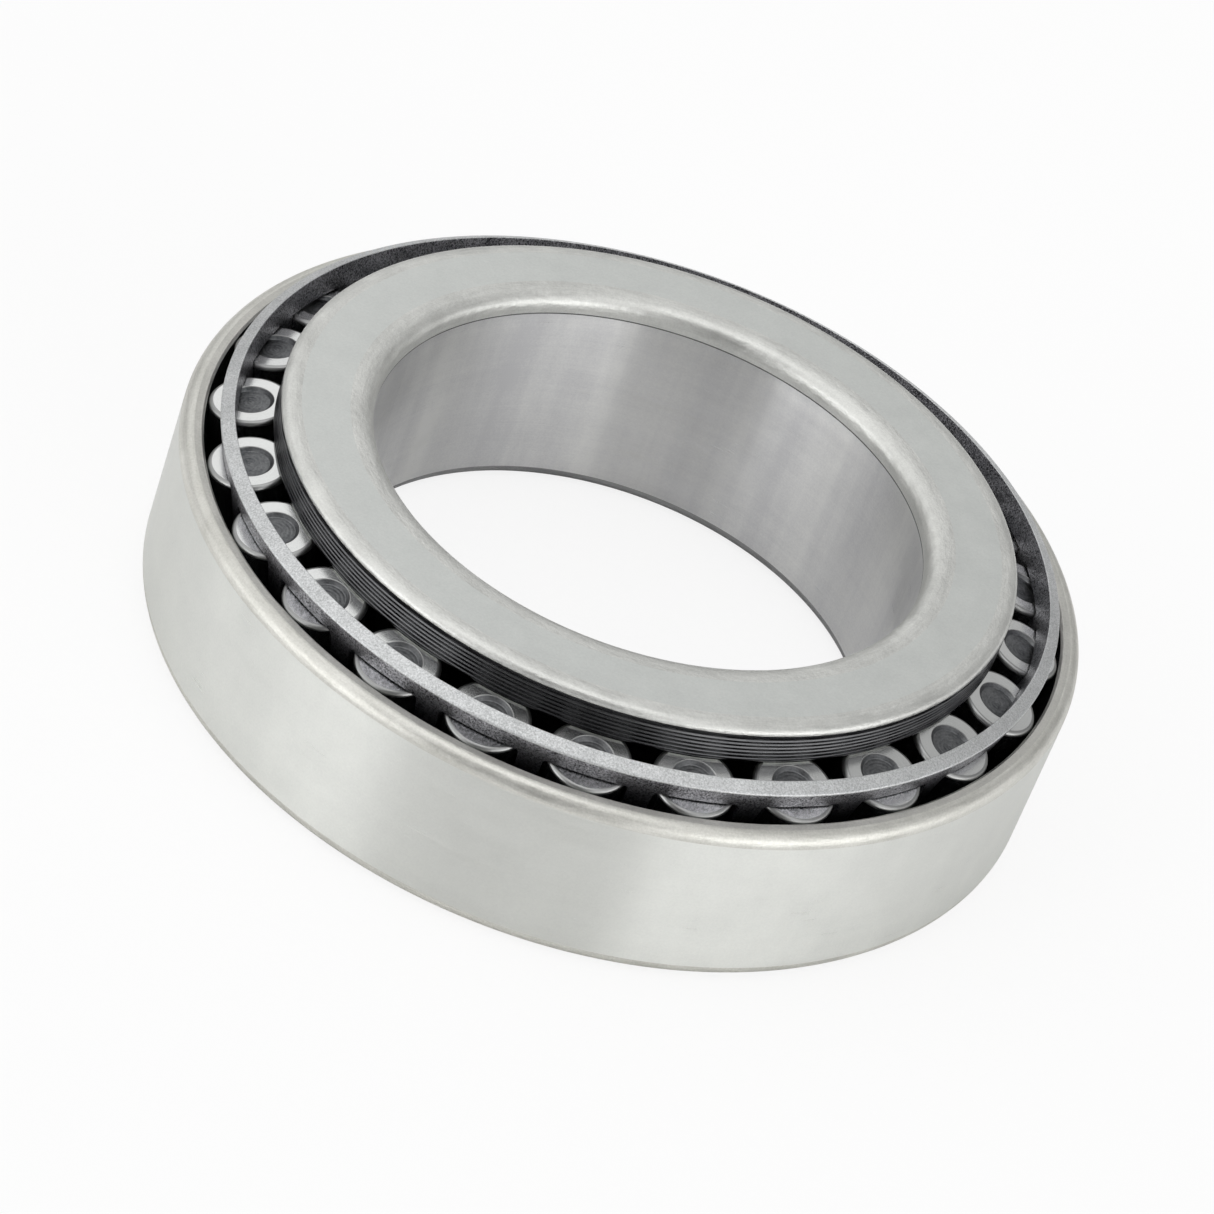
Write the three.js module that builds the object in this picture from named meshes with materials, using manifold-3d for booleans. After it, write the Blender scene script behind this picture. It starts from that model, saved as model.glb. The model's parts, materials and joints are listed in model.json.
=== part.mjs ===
// Single-row tapered roller bearing, 55 mm bore, 90 mm outside and 23 mm wide, in 28 separate pieces:
// a cup (outer ring), a cone (inner ring), a pressed cage and 25 tapered rollers.
// Frame: +Z is the bearing's axis and points to the cone's back face. z = 0 is the plane shared by
// the cup's back face and the cone's front face. Roller 01 lies above the +X axis.
import * as THREE from 'three';
import { toCreasedNormals } from 'three/addons/utils/BufferGeometryUtils.js';
import Module from 'manifold-3d';

const wasm = await Module();
wasm.setup();

const degrees = (angle) => (angle * Math.PI) / 180;

// Rings, mm
const BORE_RADIUS = 27.5;
const OUTSIDE_RADIUS = 45;
const CONE_WIDTH = 23;
const CUP_WIDTH = 17.5;
const RING_SEGMENTS = 80;

// Rolling geometry: both raceways and all the rollers are cones that share one apex on the axis
const CUP_RACEWAY_ANGLE = degrees(14 + 49 / 60);
const CUP_RACEWAY_RADIUS = 38.2525;
const ROLLER_HALF_ANGLE = degrees(1.3835);
const ROLLER_AXIS_ANGLE = CUP_RACEWAY_ANGLE - ROLLER_HALF_ANGLE;
const APEX_DEPTH = CUP_RACEWAY_RADIUS / Math.tan(CUP_RACEWAY_ANGLE);
const RUNNING_GAP = 0.06;

// Rollers
const ROLLER_COUNT = 25;
const ROLLER_PITCH = degrees(360 / ROLLER_COUNT);
const ROLLER_LARGE_END = 167.54; // from the apex, along the roller's axis
const ROLLER_LENGTH = 14.6;
const ROLLER_SMALL_END = ROLLER_LARGE_END - ROLLER_LENGTH;
const ROLLER_EDGE = 0.45;
const ROLLER_RECESS_RADIUS = 2.2;
const ROLLER_RECESS_FLOOR_RADIUS = 1.85;
const ROLLER_RECESS_DEPTH = 0.35;
const ROLLER_SEGMENTS = 18;

// Cup edges
const CUP_BACK_CORNER = 1.4;
const CUP_FRONT_CORNER_RADIAL = 1.2;
const CUP_FRONT_CORNER_AXIAL = 1.3;
const CUP_RACEWAY_EDGE = 0.2;

// Cone ribs and edges
const LARGE_RIB_RADIUS = 36.6;
const LARGE_RIB_GAP = 0.1;
const LARGE_RIB_CORNER_RADIAL = 1.8;
const LARGE_RIB_CORNER_AXIAL = 1;
const LARGE_RIB_EDGE = 0.2;
const SMALL_RIB_RADIUS = 32.7;
const SMALL_RIB_GAP = 0.25;
const SMALL_RIB_CORNER = 0.9;
const BACK_BORE_CORNER_RADIAL = 2.6;
const BACK_BORE_CORNER_AXIAL = 2;
const FRONT_BORE_CORNER = 1.3;
const RELIEF_DEPTH = 0.3;
const RELIEF_WIDTH = 0.6;

// Cage: a conical sheet-steel wall with an inward flange at its small end
const CAGE_ANGLE = degrees(16);
const CAGE_THICKNESS = 1.4;
const CAGE_RIM_RADIUS = 41.85;
const CAGE_RIM_HEIGHT = 19.87;
const CAGE_RIM_SLANT = 0.38; // how far the sheared rim's inner edge stands past square
const CAGE_FLANGE_HEIGHT = 1.1;
const CAGE_FLANGE_RADIUS = 33.5;
const CAGE_OUTER_BEND = 1.8;
const CAGE_INNER_BEND = 0.75;
const CAGE_SEGMENTS = 75;
const WINDOW_END_GAP = 0.15;
const WINDOW_HALF_WIDTH_LARGE = 3.98;
const WINDOW_HALF_WIDTH_SMALL = 3.75;

// A point of the section through a roller's axis: `along` is measured from the apex along that axis
// and `out` at right angles to it, away from the bearing's axis. Returns [radius, height].
function rollerPoint(along, out) {
  const radius = along * Math.sin(ROLLER_AXIS_ANGLE) + out * Math.cos(ROLLER_AXIS_ANGLE);
  const height = along * Math.cos(ROLLER_AXIS_ANGLE) - out * Math.sin(ROLLER_AXIS_ANGLE) - APEX_DEPTH;
  return [radius, height];
}

// How far a point at this bearing radius lies off a roller's axis, at the given distance from the apex
function outAtRadius(along, radius) {
  return (radius - along * Math.sin(ROLLER_AXIS_ANGLE)) / Math.cos(ROLLER_AXIS_ANGLE);
}

// Radius of the rolling cone that a roller follows, before the running gap is taken off
function rollerRadius(along) {
  return along * Math.tan(ROLLER_HALF_ANGLE);
}

// A rounded corner: leaves one side at corner + start and lands on the other at corner + end.
// A fullness of 2 is an elliptical quarter, and a larger one hugs the sharp corner more closely.
function roundedCorner(corner, start, end, steps, fullness = 2) {
  const points = [];
  for (let step = 0; step <= steps; step += 1) {
    const turn = (step / steps) * (Math.PI / 2);
    const fromStart = 1 - Math.sin(turn) ** (2 / fullness);
    const fromEnd = 1 - Math.cos(turn) ** (2 / fullness);
    points.push([
      corner[0] + start[0] * fromStart + end[0] * fromEnd,
      corner[1] + start[1] * fromStart + end[1] * fromEnd,
    ]);
  }
  return points;
}

// Turns a section of [radius, height] points, listed anticlockwise, around +Z into a closed solid
function revolve(profile, segments, closed) {
  const positions = [];
  const rings = profile.map(([radius, height]) => {
    const first = positions.length / 3;
    const onAxis = radius < 1e-9;
    const count = onAxis ? 1 : segments;
    for (let index = 0; index < count; index += 1) {
      const turn = (index / segments) * 2 * Math.PI;
      positions.push(radius * Math.cos(turn), radius * Math.sin(turn), height);
    }
    return (index) => (onAxis ? first : first + (index % segments));
  });
  const triangles = [];
  const bands = closed ? rings.length : rings.length - 1;
  for (let band = 0; band < bands; band += 1) {
    const here = rings[band];
    const next = rings[(band + 1) % rings.length];
    for (let index = 0; index < segments; index += 1) {
      const corners = [here(index), here(index + 1), next(index + 1), next(index)];
      if (corners[0] !== corners[1]) {
        triangles.push(corners[0], corners[1], corners[2]);
      }
      if (corners[2] !== corners[3]) {
        triangles.push(corners[0], corners[2], corners[3]);
      }
    }
  }
  return solid(positions, triangles);
}

function solid(positions, triangles) {
  const geometry = new THREE.BufferGeometry();
  geometry.setAttribute('position', new THREE.Float32BufferAttribute(positions, 3));
  geometry.setIndex(Array.from(triangles));
  return geometry;
}

function toManifold(geometry) {
  const mesh = new wasm.Mesh({
    numProp: 3,
    vertProperties: new Float32Array(geometry.attributes.position.array),
    triVerts: new Uint32Array(geometry.index.array),
  });
  return new wasm.Manifold(mesh);
}

function fromManifold(manifold) {
  const mesh = manifold.getMesh();
  return solid(Array.from(mesh.vertProperties), mesh.triVerts);
}

function cupGeometry() {
  const slope = Math.tan(CUP_RACEWAY_ANGLE);
  const raceway = (height) => CUP_RACEWAY_RADIUS + height * slope;
  const profile = [
    [raceway(0) + CUP_RACEWAY_EDGE, 0],
    ...roundedCorner([OUTSIDE_RADIUS, 0], [-CUP_BACK_CORNER, 0], [0, CUP_BACK_CORNER], 2),
    ...roundedCorner(
      [OUTSIDE_RADIUS, CUP_WIDTH],
      [0, -CUP_FRONT_CORNER_AXIAL],
      [-CUP_FRONT_CORNER_RADIAL, 0],
      3,
    ),
    [raceway(CUP_WIDTH) + CUP_RACEWAY_EDGE, CUP_WIDTH],
    [raceway(CUP_WIDTH - CUP_RACEWAY_EDGE), CUP_WIDTH - CUP_RACEWAY_EDGE],
    [raceway(CUP_RACEWAY_EDGE), CUP_RACEWAY_EDGE],
  ];
  return revolve(profile, RING_SEGMENTS, true);
}

function coneGeometry() {
  const largeRibFace = ROLLER_LARGE_END + LARGE_RIB_GAP;
  const smallRibFace = ROLLER_SMALL_END - SMALL_RIB_GAP;
  const reliefEnd = ROLLER_LARGE_END - RELIEF_WIDTH;
  const racewayEnd = reliefEnd - RELIEF_DEPTH;
  const reliefFloor = -rollerRadius(ROLLER_LARGE_END) - RELIEF_DEPTH;
  const largeRibFoot = rollerPoint(largeRibFace, outAtRadius(largeRibFace, LARGE_RIB_RADIUS));
  const profile = [
    ...roundedCorner([SMALL_RIB_RADIUS, 0], [-SMALL_RIB_CORNER, 0], [0, SMALL_RIB_CORNER], 2),
    rollerPoint(smallRibFace, outAtRadius(smallRibFace, SMALL_RIB_RADIUS)),
    rollerPoint(smallRibFace, -rollerRadius(smallRibFace)),
    rollerPoint(racewayEnd, -rollerRadius(racewayEnd)),
    rollerPoint(reliefEnd, reliefFloor),
    rollerPoint(largeRibFace, reliefFloor),
    rollerPoint(largeRibFace, outAtRadius(largeRibFace, LARGE_RIB_RADIUS - LARGE_RIB_EDGE)),
    [LARGE_RIB_RADIUS, largeRibFoot[1] + LARGE_RIB_EDGE],
    ...roundedCorner(
      [LARGE_RIB_RADIUS, CONE_WIDTH],
      [0, -LARGE_RIB_CORNER_AXIAL],
      [-LARGE_RIB_CORNER_RADIAL, 0],
      3,
      3,
    ),
    ...roundedCorner(
      [BORE_RADIUS, CONE_WIDTH],
      [BACK_BORE_CORNER_RADIAL, 0],
      [0, -BACK_BORE_CORNER_AXIAL],
      4,
      3.2,
    ),
    ...roundedCorner([BORE_RADIUS, 0], [0, FRONT_BORE_CORNER], [FRONT_BORE_CORNER, 0], 2),
  ];
  return revolve(profile, RING_SEGMENTS, true);
}

// One window's cutting tool, above the +X axis: a block that tapers with the roller and follows its axis
function windowCutter() {
  const inside = -0.3;
  const outside = 6;
  const ends = [
    [ROLLER_SMALL_END - WINDOW_END_GAP, WINDOW_HALF_WIDTH_SMALL],
    [ROLLER_LARGE_END + WINDOW_END_GAP, WINDOW_HALF_WIDTH_LARGE],
  ];
  const positions = [];
  for (const [along, halfWidth] of ends) {
    for (const [out, side] of [[inside, 1], [outside, 1], [outside, -1], [inside, -1]]) {
      const [radius, height] = rollerPoint(along, out);
      positions.push(radius, side * halfWidth, height);
    }
  }
  const faces = [
    [0, 1, 2, 3],
    [7, 6, 5, 4],
    [0, 4, 5, 1],
    [1, 5, 6, 2],
    [2, 6, 7, 3],
    [3, 7, 4, 0],
  ];
  const triangles = faces.flatMap(([a, b, c, d]) => [a, b, c, a, c, d]);
  return solid(positions, triangles);
}

function cageGeometry() {
  const slope = Math.tan(CAGE_ANGLE);
  const upWall = [Math.sin(CAGE_ANGLE), Math.cos(CAGE_ANGLE)];
  const rimInner = [
    CAGE_RIM_RADIUS - CAGE_THICKNESS * Math.cos(CAGE_ANGLE),
    CAGE_RIM_HEIGHT + CAGE_THICKNESS * Math.sin(CAGE_ANGLE),
  ];
  const flangeTop = CAGE_FLANGE_HEIGHT + CAGE_THICKNESS;
  const outerCorner = [
    CAGE_RIM_RADIUS - (CAGE_RIM_HEIGHT - CAGE_FLANGE_HEIGHT) * slope,
    CAGE_FLANGE_HEIGHT,
  ];
  const innerCorner = [rimInner[0] - (rimInner[1] - flangeTop) * slope, flangeTop];
  const along = (length) => [upWall[0] * length, upWall[1] * length];
  const profile = [
    [CAGE_FLANGE_RADIUS, CAGE_FLANGE_HEIGHT],
    ...roundedCorner(outerCorner, [-CAGE_OUTER_BEND, 0], along(CAGE_OUTER_BEND), 3),
    [CAGE_RIM_RADIUS, CAGE_RIM_HEIGHT],
    [rimInner[0] + along(CAGE_RIM_SLANT)[0], rimInner[1] + along(CAGE_RIM_SLANT)[1]],
    ...roundedCorner(innerCorner, along(CAGE_INNER_BEND), [-CAGE_INNER_BEND, 0], 3),
    [CAGE_FLANGE_RADIUS, flangeTop],
  ];
  const wall = revolve(profile, CAGE_SEGMENTS, true);
  wall.rotateZ(ROLLER_PITCH / 2);
  let cage = toManifold(wall);
  for (let index = 0; index < ROLLER_COUNT; index += 1) {
    const cutter = windowCutter().rotateZ(index * ROLLER_PITCH);
    cage = cage.subtract(toManifold(cutter));
  }
  return fromManifold(cage);
}

// A roller, made along its own axis with its large end up and a shallow recess in that end, then set in place
function rollerGeometry(index) {
  const radiusAt = (along) => rollerRadius(along) - RUNNING_GAP;
  const middle = (ROLLER_LARGE_END + ROLLER_SMALL_END) / 2;
  const half = ROLLER_LENGTH / 2;
  const large = radiusAt(ROLLER_LARGE_END);
  const small = radiusAt(ROLLER_SMALL_END);
  const profile = [
    [0, -half],
    [small, -half],
    [large, half - ROLLER_EDGE],
    [large - ROLLER_EDGE, half],
    [ROLLER_RECESS_RADIUS, half],
    [ROLLER_RECESS_FLOOR_RADIUS, half - ROLLER_RECESS_DEPTH],
    [0, half - ROLLER_RECESS_DEPTH],
  ];
  const geometry = revolve(profile, ROLLER_SEGMENTS, false);
  const [radius, height] = rollerPoint(middle, 0);
  geometry.rotateY(ROLLER_AXIS_ANGLE);
  geometry.translate(radius, 0, height);
  geometry.rotateZ(index * ROLLER_PITCH);
  return geometry;
}

const GROUND_STEEL = { color: 0xc3c7c4, roughness: 0.35, metalness: 1 };
const ROLLER_STEEL = { color: 0xcdd1d0, roughness: 0.25, metalness: 1 };
const SHEET_STEEL = { color: 0x7d807f, roughness: 0.6, metalness: 1 };

const group = new THREE.Group();
group.name = 'tapered_roller_bearing';

function addPiece(name, geometry, finish) {
  const shaded = toCreasedNormals(geometry, degrees(30));
  const mesh = new THREE.Mesh(shaded, new THREE.MeshStandardMaterial({ ...finish, name }));
  mesh.name = name;
  group.add(mesh);
}

addPiece('cup', cupGeometry(), GROUND_STEEL);
addPiece('cone', coneGeometry(), GROUND_STEEL);
addPiece('cage', cageGeometry(), SHEET_STEEL);
for (let index = 0; index < ROLLER_COUNT; index += 1) {
  const number = String(index + 1).padStart(2, '0');
  addPiece(`roller_${number}`, rollerGeometry(index), ROLLER_STEEL);
}

export default group;
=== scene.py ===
import json
import math

import bmesh
import bpy
from mathutils import Matrix, Vector


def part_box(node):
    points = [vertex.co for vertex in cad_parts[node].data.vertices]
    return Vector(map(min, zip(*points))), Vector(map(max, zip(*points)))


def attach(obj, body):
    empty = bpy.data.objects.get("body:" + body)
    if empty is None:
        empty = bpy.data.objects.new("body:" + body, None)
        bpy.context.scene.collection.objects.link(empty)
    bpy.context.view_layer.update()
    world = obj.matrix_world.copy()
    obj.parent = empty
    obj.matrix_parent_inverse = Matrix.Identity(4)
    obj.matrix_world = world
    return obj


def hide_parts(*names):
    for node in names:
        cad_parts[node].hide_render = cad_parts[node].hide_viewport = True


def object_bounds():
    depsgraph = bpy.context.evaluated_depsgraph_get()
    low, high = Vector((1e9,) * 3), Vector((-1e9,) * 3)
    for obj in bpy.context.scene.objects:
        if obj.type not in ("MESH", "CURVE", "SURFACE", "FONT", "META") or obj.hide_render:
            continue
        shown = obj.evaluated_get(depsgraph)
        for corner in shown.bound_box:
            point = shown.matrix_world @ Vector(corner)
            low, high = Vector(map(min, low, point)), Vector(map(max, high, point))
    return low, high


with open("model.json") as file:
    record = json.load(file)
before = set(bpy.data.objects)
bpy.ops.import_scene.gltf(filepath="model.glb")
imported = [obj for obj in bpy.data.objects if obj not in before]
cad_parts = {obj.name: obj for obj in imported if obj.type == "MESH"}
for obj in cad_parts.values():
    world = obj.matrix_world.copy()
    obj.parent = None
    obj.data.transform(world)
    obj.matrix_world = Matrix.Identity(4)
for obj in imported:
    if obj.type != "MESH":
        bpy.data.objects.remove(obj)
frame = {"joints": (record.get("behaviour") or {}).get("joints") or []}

CAD_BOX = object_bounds()
MM = 0.001
TURN = 2 * math.pi


def size_of(node):
    """A CAD node's width, depth and height in mm."""
    low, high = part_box(node)
    return [(high[axis] - low[axis]) / MM for axis in range(3)]


# ---------------------------------------------------------------- dimensions, mm

CUP_SIZE = size_of("cup")
CONE_SIZE = size_of("cone")
OUTSIDE_RADIUS = CUP_SIZE[0] / 2
CUP_WIDTH = CUP_SIZE[2]
LARGE_RIB_RADIUS = CONE_SIZE[0] / 2
CONE_WIDTH = CONE_SIZE[2]
BORE_RADIUS = 27.5

CUP_RACEWAY_ANGLE = math.radians(14 + 49 / 60)
CUP_RACEWAY_RADIUS = 38.2525  # at the cup's back face
ROLLER_HALF_ANGLE = math.radians(1.3835)
ROLLER_AXIS_ANGLE = CUP_RACEWAY_ANGLE - ROLLER_HALF_ANGLE
APEX_DEPTH = CUP_RACEWAY_RADIUS / math.tan(CUP_RACEWAY_ANGLE)
RUNNING_GAP = 0.06

# the rollers' ends are given as distances from the apex, along a roller's axis
ROLLER_COUNT = 25
ROLLER_PITCH = TURN / ROLLER_COUNT
ROLLER_LARGE_END = 167.54
ROLLER_LENGTH = 14.6
ROLLER_SMALL_END = ROLLER_LARGE_END - ROLLER_LENGTH
ROLLER_EDGE = 0.45
RECESS_RADIUS = 2.2
RECESS_FLOOR_RADIUS = 1.9
RECESS_DEPTH = 0.35
RECESS_EDGE = 0.08
RECESS_FILLET = 0.06
RECESS_RINGS = 5
RECESS_RING_HEIGHT = 0.012

# a corner of two numbers is (across the face, down the side)
CUP_BACK_CORNER = 1.4
CUP_FRONT_CORNER = (1.2, 1.3)
CUP_RACEWAY_EDGE = 0.2

LARGE_RIB_CORNER = (1.8, 1.0)
LARGE_RIB_GAP = 0.1
LARGE_RIB_EDGE = 0.2
RIB_SHADE = 0.75  # the rib's painted shade, a near-black copy of the steel, starts this far below the cone's face
RIB_GROOVES = 6
RIB_GROOVE_DEPTH = 0.1
SMALL_RIB_RADIUS = 32.7
SMALL_RIB_GAP = 0.25
SMALL_RIB_CORNER = 0.9
BACK_BORE_CORNER = (2.6, 2.0)
FRONT_BORE_CORNER = 1.3
BORE_LINE = 0.14  # width of the dark line where the rounding meets the bore
RELIEF_DEPTH = 0.3
RELIEF_WIDTH = 0.6

CAGE_ANGLE = math.radians(16)
CAGE_THICKNESS = 1.4
CAGE_RIM_RADIUS = 41.85
CAGE_RIM_HEIGHT = 19.87
CAGE_RIM_SLANT = 0.38  # how far the sheared rim's inner edge stands past square
CAGE_RIM_BAND = 1.0  # width of the plain band above the windows
CAGE_FLANGE_HEIGHT = 1.1
CAGE_FLANGE_RADIUS = 33.5
CAGE_OUTER_BEND = 1.8
CAGE_INNER_BEND = 0.75
WINDOW_END_GAP = 0.15
WINDOW_HALF_LARGE = 3.98
WINDOW_HALF_SMALL = 3.75
WINDOW_CORNER = 0.45
SHEET_EDGE = 0.12

# steps round a window's outline
TOP_SHARES = (0.0, 0.35, 0.7)
CORNER_STEPS = 6
LONG_STEPS = 8

RING_SEGMENTS = 300
ROLLER_SEGMENTS = 72


# ---------------------------------------------------------------- sections

def roller_point(along, out):
    """[radius, height] of a point beside a roller's axis: along it from the apex, and out from it."""
    sine, cosine = math.sin(ROLLER_AXIS_ANGLE), math.cos(ROLLER_AXIS_ANGLE)
    return (along * sine + out * cosine, along * cosine - out * sine - APEX_DEPTH)


def out_at_radius(along, radius):
    return (radius - along * math.sin(ROLLER_AXIS_ANGLE)) / math.cos(ROLLER_AXIS_ANGLE)


def roller_radius(along):
    return along * math.tan(ROLLER_HALF_ANGLE)


def rounded(corner, start, end, steps, fullness=2.0):
    """A rounded corner from corner + start to corner + end. A larger fullness hugs the sharp corner."""
    points = []
    for step in range(steps + 1):
        turn = step / steps * math.pi / 2
        from_start = 1 - math.sin(turn) ** (2 / fullness)
        from_end = 1 - math.cos(turn) ** (2 / fullness)
        points.append((
            corner[0] + start[0] * from_start + end[0] * from_end,
            corner[1] + start[1] * from_start + end[1] * from_end,
        ))
    return points


class Section:
    """A turned section: [radius, height] points in order, each with the finish of the stretch before it."""

    def __init__(self):
        self.points = []
        self.finishes = []

    def add(self, points, finish):
        for point in points:
            if self.points:
                last = self.points[-1]
                length = math.dist(last, point)
                if length < 1e-5:
                    continue
                # short stretches beside each corner keep the flats flat under smooth shading
                if length > 0.3:
                    for share in (0.03 / length, 1 - 0.03 / length):
                        self._put(
                            (last[0] + (point[0] - last[0]) * share, last[1] + (point[1] - last[1]) * share),
                            finish,
                        )
            self._put(point, finish)
        return self

    def _put(self, point, finish):
        self.points.append(point)
        self.finishes.append(finish)

    def close(self, finish):
        """Adds the supports of the stretch that leads back to the first point."""
        first = self.points[0]
        self.add([first], finish)
        self.points.pop()
        self.finishes.pop()
        self.finishes[0] = finish
        return self


def lathe(name, section, segments, materials, closed=True):
    """Turns a section, listed anticlockwise in mm, round +Z into one closed mesh in metres."""
    finishes = sorted(set(section.finishes), key=section.finishes.index)
    vertices = []
    rings = []
    for radius, height in section.points:
        if radius < 1e-6:
            rings.append([len(vertices)])
            vertices.append((0, 0, height * MM))
            continue
        rings.append(list(range(len(vertices), len(vertices) + segments)))
        for index in range(segments):
            turn = index / segments * TURN
            vertices.append((radius * math.cos(turn) * MM, radius * math.sin(turn) * MM, height * MM))
    faces = []
    face_finishes = []
    count = len(rings)
    for band in range(count if closed else count - 1):
        here, after = rings[band], rings[(band + 1) % count]
        finish = section.finishes[(band + 1) % count]
        for index in range(segments):
            step = (index + 1) % segments
            if len(here) == 1:
                face = (here[0], after[step], after[index])
            elif len(after) == 1:
                face = (here[index], here[step], after[0])
            else:
                face = (here[index], here[step], after[step], after[index])
            faces.append(face)
            face_finishes.append(finishes.index(finish))
    mesh = bpy.data.meshes.new(name)
    mesh.from_pydata(vertices, [], faces)
    for finish in finishes:
        mesh.materials.append(materials[finish])
    mesh.polygons.foreach_set("material_index", face_finishes)
    mesh.polygons.foreach_set("use_smooth", [True] * len(faces))
    mesh.update()
    return mesh


def place(name, mesh, body, node, slot, matrix=None):
    """Puts a mesh in the scene as the visible piece for one CAD node."""
    piece = bpy.data.objects.new(name, mesh)
    bpy.context.scene.collection.objects.link(piece)
    if matrix is not None:
        piece.matrix_world = matrix
    bpy.context.view_layer.update()
    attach(piece, body)
    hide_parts(node)
    return piece


# ---------------------------------------------------------------- materials

class Nodes:
    """A material's node tree, with short ways to add and link its nodes."""

    def __init__(self, name):
        self.material = bpy.data.materials.new(name)
        self.material.use_nodes = True
        self.tree = self.material.node_tree
        self.tree.nodes.clear()
        self.output = self.tree.nodes.new("ShaderNodeOutputMaterial")
        self.shader = self.tree.nodes.new("ShaderNodeBsdfPrincipled")
        self.tree.links.new(self.shader.outputs[0], self.output.inputs[0])

    def add(self, kind, inputs=(), **settings):
        node = self.tree.nodes.new(kind)
        for key, value in settings.items():
            setattr(node, key, value)
        for key, value in dict(inputs).items():
            self.feed(node.inputs[key], value)
        return node

    def feed(self, socket, value):
        if isinstance(value, bpy.types.NodeSocket):
            self.tree.links.new(value, socket)
        else:
            socket.default_value = value

    def math(self, operation, *values):
        node = self.add("ShaderNodeMath", operation=operation)
        for index, value in enumerate(values):
            self.feed(node.inputs[index], value)
        return node.outputs[0]

    def spread(self, value, low, high, new_low, new_high):
        """Maps a value's range on to another, clamped."""
        node = self.add("ShaderNodeMapRange", interpolation_type="LINEAR")
        inputs = {"Value": value, "From Min": low, "From Max": high, "To Min": new_low, "To Max": new_high}
        for key, item in inputs.items():
            self.feed(node.inputs[key], item)
        return node.outputs["Result"]

    def mix(self, factor, first, second):
        node = self.add("ShaderNodeMix", data_type="RGBA")
        self.feed(node.inputs[0], factor)
        self.feed(node.inputs[6], first)
        self.feed(node.inputs[7], second)
        return node.outputs[2]

    def place(self):
        """Object coordinates in mm as (x, y, z) sockets, the radius, and the vector itself."""
        coordinates = self.add("ShaderNodeTexCoord").outputs["Object"]
        inputs = {0: coordinates, "Scale": 1 / MM}
        scaled = self.add("ShaderNodeVectorMath", inputs, operation="SCALE").outputs[0]
        parts = self.add("ShaderNodeSeparateXYZ", {0: scaled})
        x, y, z = parts.outputs
        radius = self.math("SQRT", self.math("ADD", self.math("MULTIPLY", x, x), self.math("MULTIPLY", y, y)))
        return scaled, x, y, z, radius

    def turned(self, x, y, z, radius, round_scale, line_scale, detail=2.0, roughness=0.6):
        """Noise drawn out along the circles round the axis, as turning and grinding leave it.
        round_scale sets how often it changes round a circle, line_scale how many lines there are per mm."""
        reach = self.math("MAXIMUM", radius, 0.001)
        vector = self.add("ShaderNodeCombineXYZ", {
            0: self.math("MULTIPLY", self.math("DIVIDE", x, reach), round_scale),
            1: self.math("MULTIPLY", self.math("DIVIDE", y, reach), round_scale),
            2: self.math("MULTIPLY", radius, line_scale),
        }).outputs[0]
        return self.add("ShaderNodeTexNoise", {
            "Vector": vector, "W": self.math("MULTIPLY", z, line_scale), "Scale": 1.0,
            "Detail": detail, "Roughness": roughness,
        }, noise_dimensions="4D").outputs[0]

    def noise(self, vector, scale, detail=2.0, roughness=0.5):
        return self.add("ShaderNodeTexNoise", {
            "Vector": vector, "Scale": scale, "Detail": detail, "Roughness": roughness,
        }).outputs[0]

    def bump(self, height, strength, distance, normal=None):
        inputs = {"Height": height, "Strength": strength, "Distance": distance * MM}
        node = self.add("ShaderNodeBump", inputs)
        if normal is not None:
            self.feed(node.inputs["Normal"], normal)
        return node.outputs[0]


# noise scales, in changes per mm or round a ring
BLOTCH_SCALE = 0.22
SPECK_SCALE = 4.5
GRAIN_SCALE = 9.0
STREAK_SPIN = 6.0
STROKE_SPIN = 26.0
STROKE_SCALE = 1.6
# depth in mm below the cage's rim over which the skin's painted shade deepens
SKIN_SHADE_DEPTH = 4.5


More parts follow.
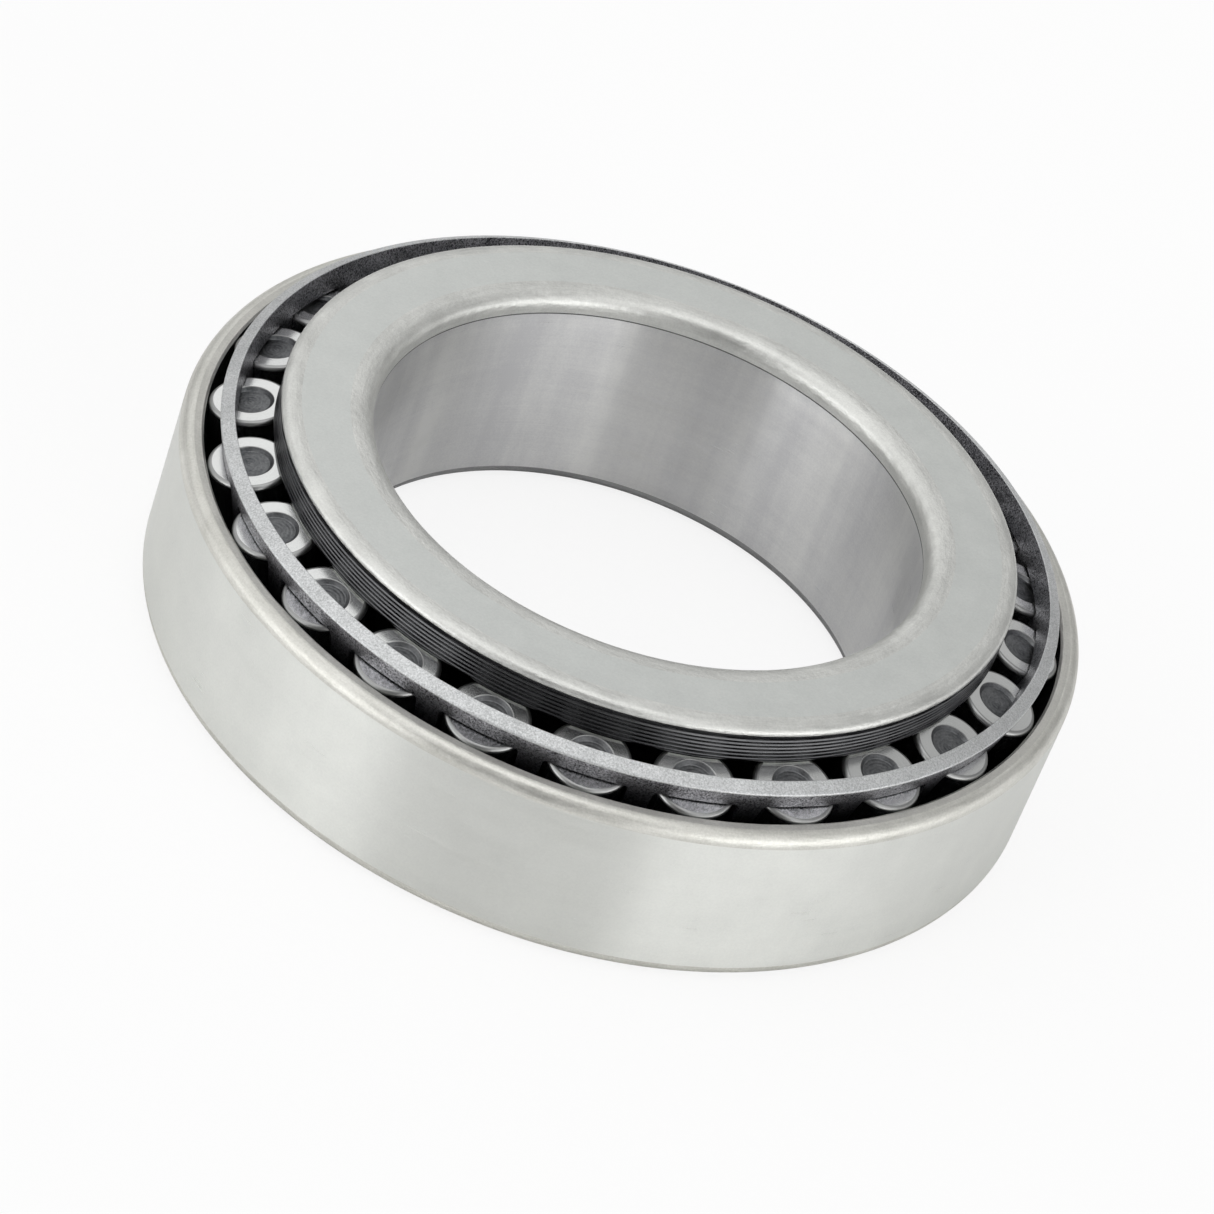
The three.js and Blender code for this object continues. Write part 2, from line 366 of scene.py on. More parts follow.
def ground_steel(name, light, dark, roughness, lines, mottle, line_bump, line_scale, spin,
                 anisotropy=0.0, grain_bump=0.12, contrast=0.2, brushed=0.0, streaks=0.0):
    """Ground or honed steel: fine lines round the axis, faint mottling, and a satin surface.

    lines, mottle    shares of the turned lines and of the mottling in the tone
    line_bump        height of the turned lines, of which there are line_scale to the mm
    spin             how often the lines change round the ring
    grain_bump       height of the finest grain
    contrast         half the range of tone between dark and light; smaller is stronger
    brushed          coarse uneven strokes, as hand finishing leaves them on a rounding
    streaks          soft upright streaks, which change only round the ring
    """
    nodes = Nodes(name)
    vector, x, y, z, radius = nodes.place()
    fine = nodes.turned(x, y, z, radius, spin, line_scale, 3.0, 0.7)
    broad = nodes.turned(x, y, z, radius, spin * 0.5, line_scale * 0.12, 2.0, 0.5)
    blotch = nodes.noise(vector, BLOTCH_SCALE, 4.0, 0.6)
    speck = nodes.noise(vector, SPECK_SCALE, 3.0, 0.7)
    tone = nodes.math("ADD", nodes.math("MULTIPLY", fine, lines), nodes.math("MULTIPLY", broad, lines * 0.8))
    tone = nodes.math("ADD", tone, nodes.math("MULTIPLY", blotch, mottle))
    tone = nodes.math("ADD", tone, nodes.math("MULTIPLY", speck, mottle * 1.2))
    if streaks:
        upright = nodes.turned(x, y, z, radius, STREAK_SPIN, 0.01, 3.0, 0.6)
        tone = nodes.math("ADD", tone, nodes.math("MULTIPLY", nodes.math("SUBTRACT", upright, 0.5), streaks))
    middle = (lines * 1.8 + mottle * 2.2) / 2
    factor = nodes.spread(tone, middle - contrast, middle + contrast, 0.0, 1.0)
    nodes.feed(nodes.shader.inputs["Base Color"], nodes.mix(factor, (*dark, 1), (*light, 1)))
    nodes.shader.inputs["Metallic"].default_value = 1.0
    line_rough = nodes.spread(fine, 0.3, 0.7, -0.05, 0.05)
    blotch_rough = nodes.spread(blotch, 0.3, 0.7, -0.03, 0.03)
    uneven = nodes.math("ADD", line_rough, blotch_rough)
    nodes.feed(nodes.shader.inputs["Roughness"], nodes.math("ADD", uneven, roughness))
    if anisotropy:
        nodes.shader.inputs["Anisotropic"].default_value = anisotropy
        # a quarter turn, so that highlights are drawn out across the lines and stay sharp along them
        nodes.shader.inputs["Anisotropic Rotation"].default_value = 0.25
        tangent = nodes.add("ShaderNodeTangent", direction_type="RADIAL", axis="Z").outputs[0]
        nodes.feed(nodes.shader.inputs["Tangent"], tangent)
    grain = nodes.bump(nodes.noise(vector, GRAIN_SCALE, 2.0, 0.6), grain_bump, 0.02)
    if brushed:
        strokes = nodes.turned(x, y, z, radius, STROKE_SPIN, STROKE_SCALE, 4.0, 0.65)
        grain = nodes.bump(strokes, brushed, 0.16, grain)
    nodes.feed(nodes.shader.inputs["Normal"], nodes.bump(fine, line_bump, 0.02, grain))
    return nodes.material


def blasted_sheet(name, light, dark, roughness, bump, speck_scale, spread, skin_shade=0.0):
    """Pressed sheet steel with a blasted skin: pits and bright specks of a tenth or two of a millimetre.
    fade says how much of the bright specks is lost SKIN_SHADE_DEPTH below the rim, as painted shade where the
    cup's wall shades the lower skin."""
    nodes = Nodes(name)
    vector, x, y, z, radius = nodes.place()
    specks = nodes.noise(vector, speck_scale, 3.0, 0.75)
    broad = nodes.noise(vector, 0.35, 3.0, 0.55)
    pits = nodes.add("ShaderNodeTexVoronoi", {"Vector": vector, "Scale": speck_scale * 0.7}).outputs[0]
    tone = nodes.math("ADD", nodes.math("MULTIPLY", specks, 0.8), nodes.math("MULTIPLY", broad, 0.2))
    factor = nodes.spread(tone, 0.5 - spread, 0.5 + spread, 0.0, 1.0)
    # painted shade: the skin's bright specks die away with depth below the rim, standing in for the shade of
    # the cup's wall
    if skin_shade:
        lit = nodes.spread(z, CAGE_RIM_HEIGHT - SKIN_SHADE_DEPTH, CAGE_RIM_HEIGHT, 1.0 - skin_shade, 1.0)
        factor = nodes.math("MULTIPLY", factor, lit)
    nodes.feed(nodes.shader.inputs["Base Color"], nodes.mix(factor, (*dark, 1), (*light, 1)))
    nodes.shader.inputs["Metallic"].default_value = 1.0
    uneven = nodes.spread(specks, 0.3, 0.7, roughness + 0.08, roughness - 0.08)
    nodes.feed(nodes.shader.inputs["Roughness"], uneven)
    rough_skin = nodes.bump(pits, bump * 0.6, 0.05)
    nodes.feed(nodes.shader.inputs["Normal"], nodes.bump(specks, bump, 0.06, rough_skin))
    return nodes.material


RACEWAY_LOOK = {"lines": 0.3, "mottle": 0.15, "line_bump": 0.12, "line_scale": 12.0, "spin": 1.5}

FINISHES = {
    "cup_wall": ground_steel(
        "cup_wall_steel", (0.89, 0.90, 0.86), (0.78, 0.79, 0.76), 0.33, lines=0.1, mottle=0.3,
        line_bump=0.10, line_scale=6.0, spin=2.0, anisotropy=0.95, grain_bump=0.2, contrast=0.16, streaks=0.3,
    ),
    "cup_face": ground_steel(
        "cup_face_steel", (0.72, 0.71, 0.67), (0.50, 0.50, 0.47), 0.48, lines=0.3, mottle=0.3,
        line_bump=0.3, line_scale=7.0, spin=8.0, grain_bump=0.35, contrast=0.14, brushed=0.3,
    ),
    "cup_round": ground_steel(
        "cup_round_steel", (0.84, 0.835, 0.79), (0.60, 0.595, 0.55), 0.43, lines=0.3, mottle=0.3,
        line_bump=0.3, line_scale=5.0, spin=14.0, grain_bump=0.4, contrast=0.14, brushed=0.5,
    ),
    "cup_raceway": ground_steel(
        "cup_raceway_steel", (0.70, 0.71, 0.71), (0.62, 0.63, 0.63), 0.16, **RACEWAY_LOOK,
    ),
    "cone_face": ground_steel(
        "cone_face_steel", (0.775, 0.795, 0.77), (0.665, 0.685, 0.665), 0.36, lines=0.1, mottle=0.35,
        line_bump=0.12, line_scale=5.0, spin=3.0, grain_bump=0.2, contrast=0.14,
    ),
    "cone_round": ground_steel(
        "cone_round_steel", (0.84, 0.845, 0.815), (0.63, 0.635, 0.61), 0.43, lines=0.35, mottle=0.3,
        line_bump=0.35, line_scale=4.0, spin=9.0, grain_bump=0.4, contrast=0.14, brushed=0.6,
    ),
    "cone_line": ground_steel(
        "cone_line_steel", (0.20, 0.20, 0.20), (0.10, 0.10, 0.10), 0.50, lines=0.4, mottle=0.3,
        line_bump=0.3, line_scale=6.0, spin=6.0,
    ),
    "cone_bore_end": ground_steel(
        "cone_bore_end_steel", (0.46, 0.46, 0.46), (0.26, 0.26, 0.265), 0.48, lines=0.4, mottle=0.3,
        line_bump=0.3, line_scale=6.0, spin=6.0,
    ),
    # painted shade: the rib's steel is nearly black, standing in for the shade in the gap beside the rollers
    "cone_rib": ground_steel(
        "cone_rib_shade_steel", (0.22, 0.22, 0.225), (0.04, 0.042, 0.045), 0.28, lines=0.5, mottle=0.15,
        line_bump=0.4, line_scale=5.0, spin=1.5,
    ),
    "cone_bore": ground_steel(
        "cone_bore_steel", (0.87, 0.87, 0.855), (0.67, 0.67, 0.68), 0.33, lines=0.2, mottle=0.3,
        line_bump=0.12, line_scale=8.0, spin=1.5, anisotropy=1.0, grain_bump=0.2, contrast=0.18, streaks=0.8,
    ),
    "cone_raceway": ground_steel(
        "cone_raceway_steel", (0.70, 0.71, 0.71), (0.62, 0.63, 0.63), 0.16, **RACEWAY_LOOK,
    ),
    "roller_side": ground_steel(
        "roller_side_steel", (0.80, 0.81, 0.81), (0.72, 0.73, 0.73), 0.17, lines=0.3, mottle=0.15,
        line_bump=0.12, line_scale=9.0, spin=1.5,
    ),
    "roller_end": ground_steel(
        "roller_end_steel", (0.85, 0.86, 0.85), (0.70, 0.71, 0.70), 0.18, lines=0.3, mottle=0.2,
        line_bump=0.25, line_scale=8.0, spin=2.0,
    ),
    # painted shade: a darker copy of the roller steel on the large end's rounding and the recess's rim, which
    # dims their highlights
    "roller_edge": ground_steel(
        "roller_edge_shade_steel", (0.44, 0.445, 0.44), (0.32, 0.325, 0.32), 0.34, lines=0.3, mottle=0.2,
        line_bump=0.25, line_scale=8.0, spin=4.0,
    ),
    "roller_recess": ground_steel(
        "roller_recess_steel", (0.28, 0.285, 0.29), (0.07, 0.075, 0.08), 0.42, lines=0.5, mottle=0.35,
        line_bump=0.8, line_scale=4.0, spin=1.2, grain_bump=0.6,
    ),
    "cage_edge": blasted_sheet(
        "cage_edge_steel", (0.82, 0.83, 0.835), (0.45, 0.46, 0.46), 0.45,
        bump=0.5, speck_scale=6.0, spread=0.14,
    ),
    # the cage's own dark skin with bright specks, with painted shade lower down
    "cage_skin": blasted_sheet(
        "cage_skin_steel", (0.84, 0.83, 0.88), (0.02, 0.02, 0.026), 0.42,
        bump=0.8, speck_scale=5.5, spread=0.12, skin_shade=0.88,
    ),
}


# ---------------------------------------------------------------- cup

def cup_section():
    slope = math.tan(CUP_RACEWAY_ANGLE)

    def raceway(height):
        return CUP_RACEWAY_RADIUS + height * slope

    edge = CUP_RACEWAY_EDGE
    section = Section()
    section.add([(raceway(0) + edge, 0)], "cup_face")
    section.add([(OUTSIDE_RADIUS - CUP_BACK_CORNER, 0)], "cup_face")
    back = rounded((OUTSIDE_RADIUS, 0), (-CUP_BACK_CORNER, 0), (0, CUP_BACK_CORNER), 10)
    section.add(back, "cup_round")
    section.add([(OUTSIDE_RADIUS, CUP_WIDTH - CUP_FRONT_CORNER[1])], "cup_wall")
    front = rounded((OUTSIDE_RADIUS, CUP_WIDTH), (0, -CUP_FRONT_CORNER[1]), (-CUP_FRONT_CORNER[0], 0), 12)
    section.add(front, "cup_round")
    section.add([(raceway(CUP_WIDTH) + edge, CUP_WIDTH)], "cup_face")
    section.add([(raceway(CUP_WIDTH - edge), CUP_WIDTH - edge)], "cup_round")
    section.add([(raceway(edge), edge)], "cup_raceway")
    return section.close("cup_round")


# ---------------------------------------------------------------- cone

def rib_side(low, high):
    """The large rib's side, with fine turned grooves between the two heights."""
    points = []
    steps = 8 * RIB_GROOVES
    for step in range(steps + 1):
        share = step / steps
        wave = 0.5 - 0.5 * math.cos(share * RIB_GROOVES * TURN)
        points.append((LARGE_RIB_RADIUS - RIB_GROOVE_DEPTH * wave ** 2, low + (high - low) * share))
    return points


def cone_section():
    large_face = ROLLER_LARGE_END + LARGE_RIB_GAP
    small_face = ROLLER_SMALL_END - SMALL_RIB_GAP
    relief_end = ROLLER_LARGE_END - RELIEF_WIDTH
    raceway_end = relief_end - RELIEF_DEPTH
    relief_floor = -roller_radius(ROLLER_LARGE_END) - RELIEF_DEPTH
    foot = roller_point(large_face, out_at_radius(large_face, LARGE_RIB_RADIUS))
    section = Section()
    small = rounded((SMALL_RIB_RADIUS, 0), (-SMALL_RIB_CORNER, 0), (0, SMALL_RIB_CORNER), 8)
    section.add(small, "cone_round")
    section.add([roller_point(small_face, out_at_radius(small_face, SMALL_RIB_RADIUS))], "cone_face")
    section.add([roller_point(small_face, -roller_radius(small_face))], "cone_raceway")
    section.add([roller_point(raceway_end, -roller_radius(raceway_end))], "cone_raceway")
    # the relief's floor and the rib's side take the rib's painted shade
    section.add([roller_point(relief_end, relief_floor)], "cone_rib")
    section.add([roller_point(large_face, relief_floor)], "cone_rib")
    rib_edge = out_at_radius(large_face, LARGE_RIB_RADIUS - LARGE_RIB_EDGE)
    section.add([roller_point(large_face, rib_edge)], "cone_raceway")
    low = foot[1] + LARGE_RIB_EDGE
    high = CONE_WIDTH - LARGE_RIB_CORNER[1]
    section.add([(LARGE_RIB_RADIUS, low)], "cone_round")
    section.add(rib_side(low + 0.15, high - 0.1), "cone_rib")
    corner = rounded(
        (LARGE_RIB_RADIUS, CONE_WIDTH), (0, -LARGE_RIB_CORNER[1]), (-LARGE_RIB_CORNER[0], 0), 16, 3.0,
    )
    # the corner's lower part takes the rib's painted shade, its upper part the rounding's steel
    section.add([point for point in corner if point[1] < CONE_WIDTH - RIB_SHADE], "cone_rib")
    section.add([point for point in corner if point[1] >= CONE_WIDTH - RIB_SHADE], "cone_round")
    section.add([(BORE_RADIUS + BACK_BORE_CORNER[0], CONE_WIDTH)], "cone_face")
    corner = rounded(
        (BORE_RADIUS, CONE_WIDTH), (BACK_BORE_CORNER[0], 0), (0, -BACK_BORE_CORNER[1]), 22, 3.2,
    )
    section.add(corner, "cone_round")
    section.add([(BORE_RADIUS, CONE_WIDTH - BACK_BORE_CORNER[1] - BORE_LINE)], "cone_line")
    section.add([(BORE_RADIUS, FRONT_BORE_CORNER)], "cone_bore")
    corner = rounded((BORE_RADIUS, 0), (0, FRONT_BORE_CORNER), (FRONT_BORE_CORNER, 0), 8)
    section.add(corner, "cone_bore_end")
    return section.close("cone_face")


# ---------------------------------------------------------------- rollers

def roller_section():
    def radius_at(along):
        return roller_radius(along) - RUNNING_GAP

    half = ROLLER_LENGTH / 2
    large = radius_at(ROLLER_LARGE_END)
    small = radius_at(ROLLER_SMALL_END)
    edge = ROLLER_EDGE
    section = Section()
    section.add([(0, -half), (0.4, -half), (small - edge, -half)], "roller_end")
    section.add(rounded((small, -half), (-edge, 0), (0, edge), 6), "roller_side")
    section.add([(large, half - edge)], "roller_side")
    # the large end's rounding and the recess's rim take the darker painted-shade copy of the roller steel
    section.add(rounded((large, half), (0, -edge), (-edge, 0), 6), "roller_edge")
    section.add([(RECESS_RADIUS + RECESS_EDGE, half)], "roller_end")
    rim = rounded((RECESS_RADIUS, half), (RECESS_EDGE, 0), (-0.02, -RECESS_EDGE), 4)
    section.add(rim, "roller_edge")
    section.add([(RECESS_FLOOR_RADIUS + 0.02, half - RECESS_DEPTH + 0.05)], "roller_recess")
    steps = RECESS_RINGS * 8
    floor = []
    for step in range(steps):
        share = step / steps
        wave = 0.5 - 0.5 * math.cos(share * RECESS_RINGS * TURN)
        radius = (RECESS_FLOOR_RADIUS - RECESS_FILLET) * (1 - share)
        floor.append((radius, half - RECESS_DEPTH + RECESS_RING_HEIGHT * wave))
    section.add(floor, "roller_recess")
    section.add([(0, half - RECESS_DEPTH)], "roller_recess")
    return section


# ---------------------------------------------------------------- cage

def cage_wall(distance, depth):
    """[radius, height] on the cage's conical wall: down from its rim, and in from its outer skin."""
    sine, cosine = math.sin(CAGE_ANGLE), math.cos(CAGE_ANGLE)
    return (
        CAGE_RIM_RADIUS - distance * sine - depth * cosine,
        CAGE_RIM_HEIGHT - distance * cosine + depth * sine,
    )


def on_wall(along, side, depth):
    """Where a window's wall meets the cage's wall at a depth: (angle, distance down from the rim)."""
    out = 1.5
    sine, cosine = math.sin(CAGE_ANGLE), math.cos(CAGE_ANGLE)
    for _ in range(12):
        radial, height = roller_point(along, out)
        radius = math.hypot(radial, side)
        # signed distance outside the surface at this depth
        outside = (radius - CAGE_RIM_RADIUS) * cosine - (height - CAGE_RIM_HEIGHT) * sine + depth
        out -= outside
    distance = (CAGE_RIM_RADIUS - radius) * sine + (CAGE_RIM_HEIGHT - height) * cosine
    return (math.atan2(side, radial), distance)


def window_outline(grow):
    """One window's outline as (along, side) points and the edge of the sector that each belongs to.
    It runs from the middle of the large end past -side. grow widens the opening all round."""
    low = ROLLER_SMALL_END - WINDOW_END_GAP
    high = ROLLER_LARGE_END + WINDOW_END_GAP
    slope = (WINDOW_HALF_LARGE - WINDOW_HALF_SMALL) / (high - low)
    corner = WINDOW_CORNER + grow

    def half(along):
        return WINDOW_HALF_SMALL + slope * (along - low) + grow

    top, bottom = high + grow, low - grow
    left = []
    for share in TOP_SHARES:
        left.append((top, -(half(top) - corner) * share, "top"))
    for step in range(CORNER_STEPS + 1):
        turn = step / CORNER_STEPS * math.pi / 2
        along = top - corner + corner * math.cos(turn)
        side = -half(along) + corner - corner * math.sin(turn)
        left.append((along, side, corner_edge(step, "top", "side")))
    for step in range(1, LONG_STEPS):
        along = top - corner - (top - bottom - 2 * corner) * step / LONG_STEPS
        left.append((along, -half(along), "side"))
    for step in range(CORNER_STEPS + 1):
        turn = step / CORNER_STEPS * math.pi / 2
        along = bottom + corner - corner * math.sin(turn)
        side = -half(along) + corner - corner * math.cos(turn)
        left.append((along, side, corner_edge(step, "side", "bottom")))
    for share in reversed(TOP_SHARES):
        left.append((bottom, -(half(bottom) - corner) * share, "bottom"))
    right = [(along, -side, edge) for along, side, edge in left[1:-1]]
    right.reverse()
    return left + right


def corner_edge(step, before, after):
    """The middle point of a corner's arc goes to the sector's own corner."""
    middle = CORNER_STEPS // 2
    if step == middle:
        return "corner"
    return before if step < middle else after


def sector_border(outline, top, bottom):
    """Carries each outline point, given as (angle, distance, edge), out to the sector's straight border."""
    half_pitch = ROLLER_PITCH / 2
    corners = [point for point in outline if point[2] == "corner"]
    high = min(distance for _, distance, _ in corners)
    low = max(distance for _, distance, _ in corners)
    reach = {
        "top": max(abs(angle) for angle, distance, _ in corners if distance < (high + low) / 2),
        "bottom": max(abs(angle) for angle, distance, _ in corners if distance > (high + low) / 2),
    }
    border = []
    for angle, distance, edge in outline:
        if edge == "corner":
            near_top = distance < (high + low) / 2
            border.append((math.copysign(half_pitch, angle), top if near_top else bottom))
        elif edge == "side":
            share = (distance - high) / (low - high)
            border.append((math.copysign(half_pitch, angle), top + (bottom - top) * share))
        else:
            border.append((angle * half_pitch / reach[edge], top if edge == "top" else bottom))
    return border


def cage_mesh(name):
    """The cage: 25 like sectors of conical wall with a window in each, a sheared rim and a bent flange."""
    builder = bmesh.new()
    thickness = CAGE_THICKNESS
    edge = SHEET_EDGE
    sine, cosine = math.sin(CAGE_ANGLE), math.cos(CAGE_ANGLE)

    def grid(rows, finishes, ring):
        """Joins rows of corners, each a list of (angle, radius, height), by strips of faces."""
        made = [
            [builder.verts.new((r * math.cos(t) * MM, r * math.sin(t) * MM, z * MM)) for t, r, z in row]
            for row in rows
        ]
        for (first, second), finish in zip(zip(made, made[1:]), finishes):
            for index in range(len(first) if ring else len(first) - 1):
                after = (index + 1) % len(first)
                face = builder.faces.new((first[index], first[after], second[after], second[index]))
                face.material_index = finish
                face.smooth = True

    def on_sheet(points, depth, turn):
        return [(angle + turn, *cage_wall(distance, depth)) for angle, distance in points]

    def window_loop(grow, depth):
        return [(*on_wall(along, side, depth), mark) for along, side, mark in window_outline(grow)]

    arc = [step / 3 * math.pi / 2 for step in range(4)]
    loops = [(edge + 0.06, 0.0)]
    loops += [(edge * (1 - math.sin(turn)), edge * (1 - math.cos(turn))) for turn in arc]
    loops += [(0.0, edge + 0.05), (0.0, thickness - edge - 0.05)]
    loops += [(edge * (1 - math.cos(turn)), thickness - edge * (1 - math.sin(turn))) for turn in arc]
    loops += [(edge + 0.06, thickness)]
    outer = window_loop(edge + 0.06, 0.0)
    top = CAGE_RIM_BAND
    bottom = max(distance for _, distance, _ in outer) + 0.35
    border = sector_border(outer, top, bottom)
    flat = [[(angle, distance) for angle, distance, _ in window_loop(grow, depth)] for grow, depth in loops]
    halfway = [
        [((a + c) / 2, (b + d) / 2) for (a, b), (c, d) in zip(border, ring)] for ring in (flat[0], flat[-1])
    ]
    rings = [(border, 0.0), (halfway[0], 0.0)]
    rings += [(ring, depth) for ring, (_, depth) in zip(flat, loops)]
    rings += [(halfway[1], thickness), (border, thickness)]
    skin, cut = 1, 0
    finishes = [skin] * (len(rings) - 1)
    for sector in range(ROLLER_COUNT):
        turn = sector * ROLLER_PITCH
        grid([on_sheet(ring, depth, turn) for ring, depth in rings], finishes, True)

    # the full rings above and below the windows share the sectors' own columns
    def columns(distance):
        row = sorted({round(angle, 9) for angle, place in border if abs(place - distance) < 1e-9})
        return [angle + sector * ROLLER_PITCH for sector in range(ROLLER_COUNT) for angle in row[:-1]]

    rim = [(top, 0.0, skin), (edge + 0.05, 0.0, skin)]
    rim += [(edge * (1 - math.sin(turn)), edge * (1 - math.cos(turn)), cut) for turn in arc]
    rim += [(0.0, edge + 0.05, cut), (0.0, thickness - edge - 0.05, cut)]
    rim += [(edge * (1 - math.cos(turn)), thickness - edge * (1 - math.sin(turn)), cut) for turn in arc]
    rim += [(edge + 0.05, thickness, skin), (top, thickness, skin)]
    angles = columns(top)
    slant = CAGE_RIM_SLANT / thickness
    rows = []
    for distance, depth, _ in rim:
        raised = distance if distance == top else distance - slant * depth
        rows.append([(angle, *cage_wall(raised, depth)) for angle in angles])
    grid(rows, [finish for _, _, finish in rim[1:]], True)

    flange_top = CAGE_FLANGE_HEIGHT + thickness
    drop = (CAGE_RIM_HEIGHT - CAGE_FLANGE_HEIGHT) / cosine
    outer_corner = (cage_wall(drop, 0.0)[0], CAGE_FLANGE_HEIGHT)
    inner_drop = (CAGE_RIM_HEIGHT + thickness * sine - flange_top) / cosine
    inner_corner = (cage_wall(inner_drop, thickness)[0], flange_top)
    up = (sine, cosine)
    outer_bend = rounded(
        outer_corner, (up[0] * CAGE_OUTER_BEND, up[1] * CAGE_OUTER_BEND), (-CAGE_OUTER_BEND, 0), 8,
    )
    inner_bend = rounded(
        inner_corner, (-CAGE_INNER_BEND, 0), (up[0] * CAGE_INNER_BEND, up[1] * CAGE_INNER_BEND), 8,
    )
    lip_low = rounded((CAGE_FLANGE_RADIUS, CAGE_FLANGE_HEIGHT), (edge, 0), (0, edge), 3)
    lip_high = rounded((CAGE_FLANGE_RADIUS, flange_top), (0, -edge), (edge, 0), 3)
    path = [cage_wall(bottom, 0.0), *outer_bend, *lip_low, *lip_high, *inner_bend]
    path.append(cage_wall(bottom, thickness))
    first_cut = 1 + len(outer_bend)
    last_cut = first_cut + len(lip_low) + len(lip_high)
    finishes = [cut if first_cut <= index < last_cut else skin for index in range(1, len(path))]
    angles = columns(bottom)
    grid([[(angle, *point) for angle in angles] for point in path], finishes, True)

    bmesh.ops.remove_doubles(builder, verts=builder.verts, dist=1e-7)
    bmesh.ops.recalc_face_normals(builder, faces=builder.faces)
    mesh = bpy.data.meshes.new(name)
    builder.to_mesh(mesh)
    builder.free()
    mesh.materials.append(FINISHES["cage_edge"])
    mesh.materials.append(FINISHES["cage_skin"])
    return mesh


# ---------------------------------------------------------------- pieces

cup_mesh = lathe("cup_ring", cup_section(), RING_SEGMENTS, FINISHES)
place("cup_ring", cup_mesh, "cup", "cup", "cup_steel")
cone_mesh = lathe("cone_ring", cone_section(), RING_SEGMENTS, FINISHES)
place("cone_ring", cone_mesh, "cone", "cone", "cone_steel")
place("cage_sheet", cage_mesh("cage_sheet"), "cage", "cage", "cage_steel")

roller_mesh = lathe("roller", roller_section(), ROLLER_SEGMENTS, FINISHES, closed=False)
joints = {joint["child"]: joint for joint in frame["joints"]}
for number in range(1, ROLLER_COUNT + 1):
    node = f"roller_{number:02d}"
    joint = joints[node]
    axis = Vector(joint["axis"]).normalized()
    centre = Vector(joint["pos_m"])
    outward = Vector((centre.x, centre.y, 0)).normalized()
    across = axis.cross(outward).normalized()
    outward = across.cross(axis)
    matrix = Matrix((outward, across, axis)).transposed().to_4x4()
    matrix.translation = centre
    place(f"{node}_solid", roller_mesh, node, node, "roller_steel", matrix)


# ---------------------------------------------------------------- floor, light and camera

FLOOR_REACH = 6.0
FLOOR_GAP = 0.00002
FLOOR_GLOW = 0.82

# brightness of the surroundings as (degrees round from the camera's side, level), low down and high up
WORLD_LOW = (
    (-180, 0.30), (-140, 0.38), (-118, 0.36), (-101, 0.55), (-93, 1.5), (-66, 1.6), (-57, 2.6), (-35, 2.9),
    (-31, 0.10), (25, 0.10), (30, 2.9), (45, 2.4), (72, 2.3), (84, 1.6), (98, 1.0), (130, 0.42), (180, 0.30),
)
WORLD_HIGH = (
    (-180, 0.80), (-165, 0.96), (-100, 0.95), (-50, 1.2), (-35, 1.2), (-31, 0.18), (25, 0.18), (29, 1.2),
    (70, 1.05), (100, 0.45), (150, 0.42), (166, 0.66),
)
WORLD_TOP = 1.6
WORLD_STRENGTH = 1.0

# the camera stands in front of and above the bearing, and is rolled so that the axis leans right
CAMERA_PLACE_MM = Vector((0.1, -356.2, 265.7))
CAMERA_DOWN = math.radians(36.09)
CAMERA_ROLL = math.radians(20.65)
CAMERA_LENS_MM = 134.07
ROLLER_PHASE = math.radians(1.4)  # turns the camera a little round the rollers


def make_floor():
    """A plain pale floor. What the camera sees of it is held close to white, as on a light table."""
    mesh = bpy.data.meshes.new("floor")
    reach = FLOOR_REACH
    corners = [(-reach, -reach, 0), (reach, -reach, 0), (reach, reach, 0), (-reach, reach, 0)]
    mesh.from_pydata(corners, [], [(0, 1, 2, 3)])
    floor = bpy.data.objects.new("floor", mesh)
    floor.location.z = CAD_BOX[0].z - FLOOR_GAP
    bpy.context.scene.collection.objects.link(floor)
    nodes = Nodes("floor_white")
    nodes.shader.inputs["Base Color"].default_value = (0.93, 0.93, 0.93, 1)
    nodes.shader.inputs["Roughness"].default_value = 1.0
    nodes.shader.inputs["Specular IOR Level"].default_value = 0.0
    glow = nodes.add("ShaderNodeEmission", {"Color": (1, 1, 1, 1), "Strength": 1.02})
    seen = nodes.math("MULTIPLY", nodes.add("ShaderNodeLightPath").outputs["Is Camera Ray"], FLOOR_GLOW)
    mixed = nodes.add("ShaderNodeMixShader", {0: seen, 1: nodes.shader.outputs[0], 2: glow.outputs[0]})
    nodes.feed(nodes.output.inputs[0], mixed.outputs[0])
    mesh.materials.append(nodes.material)


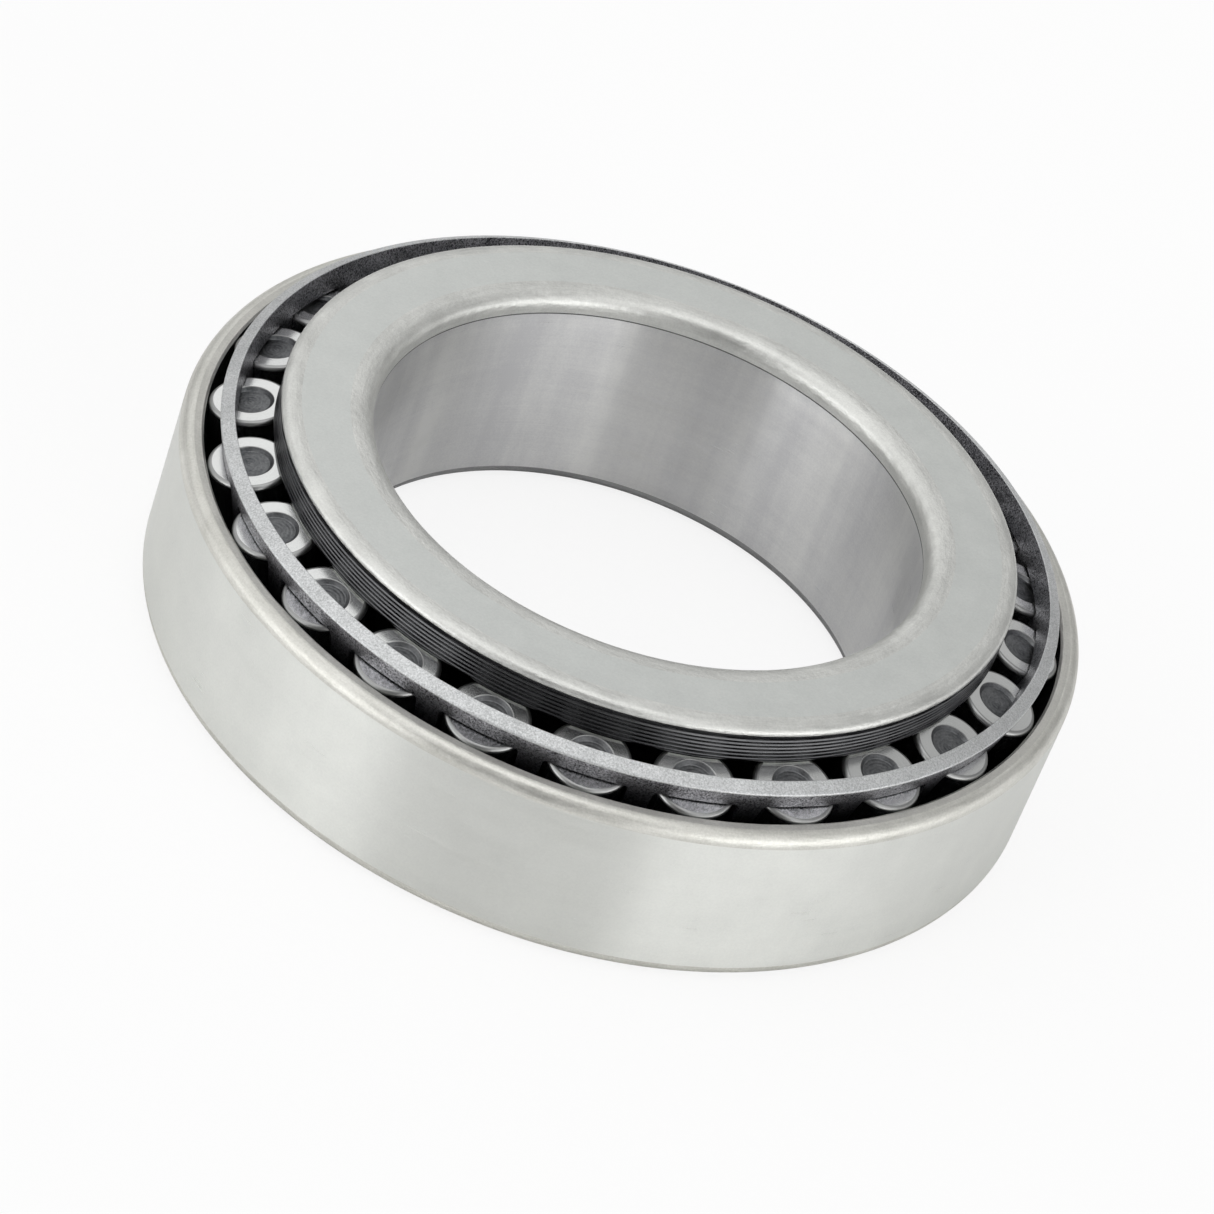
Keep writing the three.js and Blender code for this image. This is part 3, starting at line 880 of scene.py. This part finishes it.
def make_world():
    """Soft studio light: tall bright panels at the sides, a dark gap behind the camera, a bright ceiling."""
    world = bpy.data.worlds.new("studio")
    bpy.context.scene.world = world
    world.use_nodes = True
    tree = world.node_tree
    tree.nodes.clear()

    def add(kind, inputs=(), **settings):
        node = tree.nodes.new(kind)
        for key, value in settings.items():
            setattr(node, key, value)
        for key, value in dict(inputs).items():
            if isinstance(value, bpy.types.NodeSocket):
                tree.links.new(value, node.inputs[key])
            else:
                node.inputs[key].default_value = value
        return node

    def ramp(position, stops):
        node = add("ShaderNodeValToRGB", {0: position})
        node.color_ramp.interpolation = "LINEAR"
        elements = node.color_ramp.elements
        while len(elements) < len(stops):
            elements.new(0.5)
        for element, (degrees, level) in zip(elements, stops):
            element.position = (degrees + 180) / 360
            element.color = (level, level, level, 1)
        return node.outputs[0]

    def rising(value, low, high):
        inputs = {"Value": value, "From Min": low, "From Max": high, "To Min": 0.0, "To Max": 1.0}
        return add("ShaderNodeMapRange", inputs, interpolation_type="SMOOTHSTEP").outputs[0]

    def mix(factor, first, second):
        return add("ShaderNodeMix", {0: factor, 6: first, 7: second}, data_type="RGBA").outputs[2]

    way = add("ShaderNodeTexCoord").outputs["Generated"]
    x, y, z = add("ShaderNodeSeparateXYZ", {0: way}).outputs
    toward = add("ShaderNodeMath", {0: y, 1: -1.0}, operation="MULTIPLY").outputs[0]
    azimuth = add("ShaderNodeMath", {0: x, 1: toward}, operation="ARCTAN2").outputs[0]
    share = {"Value": azimuth, "From Min": -math.pi, "From Max": math.pi, "To Min": 0.0, "To Max": 1.0}
    position = add("ShaderNodeMapRange", share).outputs[0]
    high = mix(rising(z, 0.93, 0.99), ramp(position, WORLD_HIGH), (WORLD_TOP, WORLD_TOP, WORLD_TOP, 1))
    level = mix(rising(z, 0.25, 0.45), ramp(position, WORLD_LOW), high)
    seen = add("ShaderNodeLightPath").outputs["Is Camera Ray"]
    shown = mix(seen, level, (0.9, 0.9, 0.9, 1))
    background = add("ShaderNodeBackground", {"Color": shown, "Strength": WORLD_STRENGTH})
    output = add("ShaderNodeOutputWorld")
    tree.links.new(background.outputs[0], output.inputs[0])


def make_camera():
    data = bpy.data.cameras.new("camera")
    data.sensor_width = 36
    data.lens = CAMERA_LENS_MM
    data.clip_start = 0.01
    data.clip_end = 50
    camera = bpy.data.objects.new("camera", data)
    bpy.context.scene.collection.objects.link(camera)
    level_right = Vector((1, 0, 0))
    level_up = Vector((0, math.sin(CAMERA_DOWN), math.cos(CAMERA_DOWN)))
    back = Vector((0, -math.cos(CAMERA_DOWN), math.sin(CAMERA_DOWN)))
    right = level_right * math.cos(CAMERA_ROLL) + level_up * math.sin(CAMERA_ROLL)
    up = level_up * math.cos(CAMERA_ROLL) - level_right * math.sin(CAMERA_ROLL)
    turn = Matrix((right, up, back)).transposed().to_4x4()
    turn.translation = CAMERA_PLACE_MM * MM
    camera.matrix_world = Matrix.Rotation(-ROLLER_PHASE, 4, "Z") @ turn
    bpy.context.scene.camera = camera


make_floor()
make_world()
make_camera()
bpy.context.scene.view_settings.view_transform = "Standard"
bpy.context.view_layer.update()
